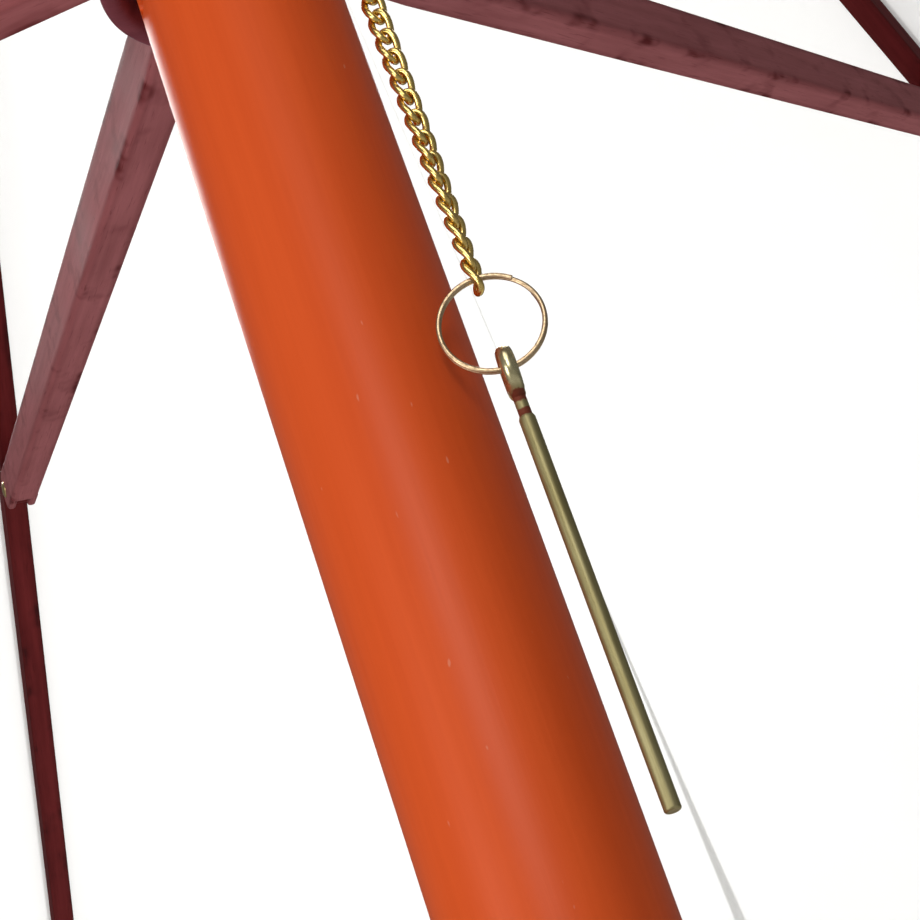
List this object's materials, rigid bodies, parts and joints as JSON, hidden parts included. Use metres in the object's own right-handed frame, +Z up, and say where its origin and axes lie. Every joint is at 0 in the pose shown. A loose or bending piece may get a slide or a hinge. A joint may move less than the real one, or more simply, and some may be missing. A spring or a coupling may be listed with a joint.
{
  "type": "market umbrella",
  "caption": "Wooden market umbrella that pushes up: round varnished pole, hinged ribs and struts on a sliding runner, white canopy, and a lock pin hanging on a brass chain.",
  "frame": {"origin": "centre of the pole's foot, on its end face", "axes": "+Z up along the pole; +X along rib_1; the umbrella is open at rest"},
  "size_m": [2.7184, 2.7184, 2.4966],
  "materials": {
    "pole_wood": "satin varnish over an orange-brown stain",
    "frame_wood": "satin varnish over a mahogany stain",
    "cloth": "plain woven canopy cloth, matt",
    "brass": "plain polished, lightly dulled",
    "chain_brass": "bright plated links, dark in the recesses",
    "pin_brass": "drawn bar, dull, with streaks along it",
    "steel": "plain drawn wire"
  },
  "bodies": {
    "pole": {"pole_lower": "pole_wood", "pole_upper": "pole_wood", "ferrule_lower": "brass", "ferrule_upper": "brass", "joint_stud": "steel", "top_hub": "frame_wood", "hub_wire": "steel", "hub_cap": "frame_wood", "finial": "frame_wood"},
    "runner": {"runner": "frame_wood", "runner_wire": "steel", "screw_eye": "chain_brass"},
    "strut_1": {"strut_1": "frame_wood", "joint_pin_1": "brass"},
    "rib_1": {"rib_1": "frame_wood", "rib_tip_1": "brass", "canopy_1": "cloth"},
    "strut_2": {"strut_2": "frame_wood", "joint_pin_2": "brass"},
    "rib_2": {"rib_2": "frame_wood", "rib_tip_2": "brass", "canopy_2": "cloth"},
    "strut_3": {"strut_3": "frame_wood", "joint_pin_3": "brass"},
    "rib_3": {"rib_3": "frame_wood", "rib_tip_3": "brass", "canopy_3": "cloth"},
    "strut_4": {"strut_4": "frame_wood", "joint_pin_4": "brass"},
    "rib_4": {"rib_4": "frame_wood", "rib_tip_4": "brass", "canopy_4": "cloth"},
    "strut_5": {"strut_5": "frame_wood", "joint_pin_5": "brass"},
    "rib_5": {"rib_5": "frame_wood", "rib_tip_5": "brass", "canopy_5": "cloth"},
    "strut_6": {"strut_6": "frame_wood", "joint_pin_6": "brass"},
    "rib_6": {"rib_6": "frame_wood", "rib_tip_6": "brass", "canopy_6": "cloth"},
    "strut_7": {"strut_7": "frame_wood", "joint_pin_7": "brass"},
    "rib_7": {"rib_7": "frame_wood", "rib_tip_7": "brass", "canopy_7": "cloth"},
    "strut_8": {"strut_8": "frame_wood", "joint_pin_8": "brass"},
    "rib_8": {"rib_8": "frame_wood", "rib_tip_8": "brass", "canopy_8": "cloth"},
    "chain": {"chain": "chain_brass"},
    "split_ring": {"split_ring": "chain_brass"},
    "lock_pin": {"lock_pin": "pin_brass"}
  },
  "joints": [
    {"name": "runner_slide", "type": "slide", "parent": "pole", "child": "runner", "axis": [0, 0, -1], "range_m": [0, 0.86481]},
    {"name": "strut_1_pivot", "type": "hinge", "parent": "runner", "child": "strut_1", "pos_m": [0.036, 0, 1.90103], "axis": [0, -1, 0], "range_deg": [0, 73.02]},
    {"name": "rib_1_fold", "type": "hinge", "parent": "strut_1", "child": "rib_1", "pos_m": [0.67045, 0, 2.095], "axis": [0, 1, 0], "range_deg": [0, 137.53], "deforming": ["canopy_1"]},
    {"name": "strut_2_pivot", "type": "hinge", "parent": "runner", "child": "strut_2", "pos_m": [0.02546, 0.02546, 1.90103], "axis": [0.7071, -0.7071, 0], "range_deg": [0, 73.02]},
    {"name": "rib_2_fold", "type": "hinge", "parent": "strut_2", "child": "rib_2", "pos_m": [0.47408, 0.47408, 2.095], "axis": [-0.7071, 0.7071, 0], "range_deg": [0, 137.53], "deforming": ["canopy_2"]},
    {"name": "strut_3_pivot", "type": "hinge", "parent": "runner", "child": "strut_3", "pos_m": [0, 0.036, 1.90103], "axis": [1, 0, 0], "range_deg": [0, 73.02]},
    {"name": "rib_3_fold", "type": "hinge", "parent": "strut_3", "child": "rib_3", "pos_m": [0, 0.67045, 2.095], "axis": [-1, 0, 0], "range_deg": [0, 137.53], "deforming": ["canopy_3"]},
    {"name": "strut_4_pivot", "type": "hinge", "parent": "runner", "child": "strut_4", "pos_m": [-0.02546, 0.02546, 1.90103], "axis": [0.7071, 0.7071, 0], "range_deg": [0, 73.02]},
    {"name": "rib_4_fold", "type": "hinge", "parent": "strut_4", "child": "rib_4", "pos_m": [-0.47408, 0.47408, 2.095], "axis": [-0.7071, -0.7071, 0], "range_deg": [0, 137.53], "deforming": ["canopy_4"]},
    {"name": "strut_5_pivot", "type": "hinge", "parent": "runner", "child": "strut_5", "pos_m": [-0.036, 0, 1.90103], "axis": [0, 1, 0], "range_deg": [0, 73.02]},
    {"name": "rib_5_fold", "type": "hinge", "parent": "strut_5", "child": "rib_5", "pos_m": [-0.67045, 0, 2.095], "axis": [0, -1, 0], "range_deg": [0, 137.53], "deforming": ["canopy_5"]},
    {"name": "strut_6_pivot", "type": "hinge", "parent": "runner", "child": "strut_6", "pos_m": [-0.02546, -0.02546, 1.90103], "axis": [-0.7071, 0.7071, 0], "range_deg": [0, 73.02]},
    {"name": "rib_6_fold", "type": "hinge", "parent": "strut_6", "child": "rib_6", "pos_m": [-0.47408, -0.47408, 2.095], "axis": [0.7071, -0.7071, 0], "range_deg": [0, 137.53], "deforming": ["canopy_6"]},
    {"name": "strut_7_pivot", "type": "hinge", "parent": "runner", "child": "strut_7", "pos_m": [0, -0.036, 1.90103], "axis": [-1, 0, 0], "range_deg": [0, 73.02]},
    {"name": "rib_7_fold", "type": "hinge", "parent": "strut_7", "child": "rib_7", "pos_m": [0, -0.67045, 2.095], "axis": [1, 0, 0], "range_deg": [0, 137.53], "deforming": ["canopy_7"]},
    {"name": "strut_8_pivot", "type": "hinge", "parent": "runner", "child": "strut_8", "pos_m": [0.02546, -0.02546, 1.90103], "axis": [-0.7071, -0.7071, 0], "range_deg": [0, 73.02]},
    {"name": "rib_8_fold", "type": "hinge", "parent": "strut_8", "child": "rib_8", "pos_m": [0.47408, -0.47408, 2.095], "axis": [0.7071, 0.7071, 0], "range_deg": [0, 137.53], "deforming": ["canopy_8"]},
    {"name": "chain_swing", "type": "hinge", "parent": "runner", "child": "chain", "pos_m": [0.02088, -0.02994, 1.87643], "axis": [-0.8202, -0.5721, 0], "range_deg": [0, 30]},
    {"name": "ring_swing", "type": "hinge", "parent": "chain", "child": "split_ring", "pos_m": [0.02088, -0.02994, 1.75243], "axis": [-0.9578, 0.2874, 0], "range_deg": [-6, 45]},
    {"name": "pin_swing", "type": "hinge", "parent": "split_ring", "child": "lock_pin", "pos_m": [0.02088, -0.02994, 1.73063], "axis": [-0.9578, 0.2874, 0], "range_deg": [-8, 50]}
  ],
  "couplings": [
    {"joint": "strut_1_pivot", "follows": "runner_slide", "rad_per_m": 1.4733},
    {"joint": "rib_1_fold", "follows": "runner_slide", "rad_per_m": 2.7752},
    {"joint": "strut_2_pivot", "follows": "runner_slide", "rad_per_m": 1.4733},
    {"joint": "rib_2_fold", "follows": "runner_slide", "rad_per_m": 2.7752},
    {"joint": "strut_3_pivot", "follows": "runner_slide", "rad_per_m": 1.4733},
    {"joint": "rib_3_fold", "follows": "runner_slide", "rad_per_m": 2.7752},
    {"joint": "strut_4_pivot", "follows": "runner_slide", "rad_per_m": 1.4733},
    {"joint": "rib_4_fold", "follows": "runner_slide", "rad_per_m": 2.7752},
    {"joint": "strut_5_pivot", "follows": "runner_slide", "rad_per_m": 1.4733},
    {"joint": "rib_5_fold", "follows": "runner_slide", "rad_per_m": 2.7752},
    {"joint": "strut_6_pivot", "follows": "runner_slide", "rad_per_m": 1.4733},
    {"joint": "rib_6_fold", "follows": "runner_slide", "rad_per_m": 2.7752},
    {"joint": "strut_7_pivot", "follows": "runner_slide", "rad_per_m": 1.4733},
    {"joint": "rib_7_fold", "follows": "runner_slide", "rad_per_m": 2.7752},
    {"joint": "strut_8_pivot", "follows": "runner_slide", "rad_per_m": 1.4733},
    {"joint": "rib_8_fold", "follows": "runner_slide", "rad_per_m": 2.7752}
  ]
}
